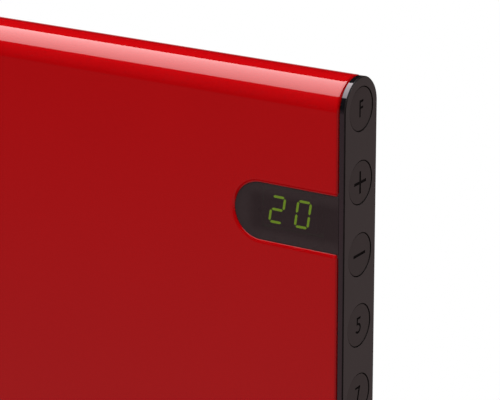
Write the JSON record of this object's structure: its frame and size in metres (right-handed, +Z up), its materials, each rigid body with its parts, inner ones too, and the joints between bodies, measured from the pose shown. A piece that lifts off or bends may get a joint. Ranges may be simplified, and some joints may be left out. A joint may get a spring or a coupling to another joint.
{
  "type": "wall panel heater",
  "caption": "Slim wall-hung electric panel heater with a half-round top, black end caps, round push keys down the right end, a display tab in the front and a hook-on bracket.",
  "frame": {"origin": "middle of the bracket's four wall screw holes, on the wall plane", "axes": "+X to the right of someone facing the heater, +Y into the wall, +Z up"},
  "size_m": [0.6, 0.078, 0.37],
  "materials": {
    "casing_paint": "gloss red enamel on sheet steel",
    "zinc_steel": "galvanised sheet, faintly spangled",
    "screw_steel": "zinc-plated screws and rivets",
    "cap_plastic": "black moulded plastic, gloss rim",
    "fascia_plastic": "dark grey moulded plastic, fine satin grain",
    "key_plastic": "dark grey moulded plastic, legends sunk and black",
    "plunger_plastic": "natural moulded plastic",
    "window_plastic": "smoked acrylic",
    "segment_light": "lit green segments",
    "module_plastic": "black display housing",
    "circuit_board": "green solder mask over glass fibre",
    "component_black": "moulded component cases",
    "transformer_tape": "taped winding",
    "block_plastic": "natural terminal plastic",
    "fin_aluminium": "extruded, mill finish",
    "rod_steel": "oxidised heating rod",
    "bush_ceramic": "unglazed steatite",
    "terminal_brass": "bright brass",
    "shield_aluminium": "bright aluminium sheet",
    "cutout_plastic": "brown phenolic",
    "sensor_plastic": "white sleeve",
    "gland_plastic": "black nylon",
    "lead_white": "white lead insulation",
    "lead_brown": "brown lead insulation",
    "lead_red": "heat-proof red lead sleeve",
    "lead_blue": "blue lead insulation",
    "lead_green": "green and yellow lead insulation"
  },
  "bodies": {
    "wall_bracket": {"bracket_upright_left": "zinc_steel", "bracket_upright_right": "zinc_steel", "bracket_rail": "zinc_steel", "bracket_rivets": "screw_steel"},
    "heater": {"front_casing": "casing_paint", "rear_panel": "zinc_steel", "casing_screws": "screw_steel", "left_end_cap": "cap_plastic", "right_end_cap": "cap_plastic", "left_fascia": "fascia_plastic", "control_fascia": "fascia_plastic", "end_cap_screws": "screw_steel", "control_board": "circuit_board", "key_switches": "component_black", "board_screws": "screw_steel", "relay": "component_black", "transformer": "transformer_tape", "capacitor": "component_black", "terminal_block": "block_plastic", "display_window": "window_plastic", "display_module": "module_plastic", "display_segments": "segment_light", "display_board": "circuit_board", "display_header": "component_black", "finned_element": "fin_aluminium", "heating_rod": "rod_steel", "ceramic_bushes": "bush_ceramic", "element_terminals": "terminal_brass", "element_support_left": "zinc_steel", "element_support_right": "zinc_steel", "support_screws": "screw_steel", "heat_shield": "shield_aluminium", "front_baffle": "zinc_steel", "thermal_cutout": "cutout_plastic", "cutout_screws": "screw_steel", "room_sensor": "sensor_plastic", "sensor_lead": "lead_white", "live_lead": "lead_brown", "link_lead": "lead_red", "neutral_lead": "lead_blue", "earth_lead": "lead_green", "earth_screw": "terminal_brass", "cable_gland": "gland_plastic", "gland_nut": "gland_plastic"},
    "function_key": {"key_function": "key_plastic", "plunger_function": "plunger_plastic"},
    "plus_key": {"key_plus": "key_plastic", "plunger_plus": "plunger_plastic"},
    "minus_key": {"key_minus": "key_plastic", "plunger_minus": "plunger_plastic"},
    "five_key": {"key_five": "key_plastic", "plunger_five": "plunger_plastic"},
    "seven_key": {"key_seven": "key_plastic", "plunger_seven": "plunger_plastic"}
  },
  "joints": [
    {"name": "heater_lift", "type": "slide", "parent": "wall_bracket", "child": "heater", "axis": [0, 0, 1], "range_m": [0, 0.012]},
    {"name": "function_press", "type": "slide", "parent": "heater", "child": "function_key", "axis": [-1, 0, 0], "range_m": [0, 0.001], "stiffness_N_per_m": 1500},
    {"name": "plus_press", "type": "slide", "parent": "heater", "child": "plus_key", "axis": [-1, 0, 0], "range_m": [0, 0.001], "stiffness_N_per_m": 1500},
    {"name": "minus_press", "type": "slide", "parent": "heater", "child": "minus_key", "axis": [-1, 0, 0], "range_m": [0, 0.001], "stiffness_N_per_m": 1500},
    {"name": "five_press", "type": "slide", "parent": "heater", "child": "five_key", "axis": [-1, 0, 0], "range_m": [0, 0.001], "stiffness_N_per_m": 1500},
    {"name": "seven_press", "type": "slide", "parent": "heater", "child": "seven_key", "axis": [-1, 0, 0], "range_m": [0, 0.001], "stiffness_N_per_m": 1500}
  ]
}
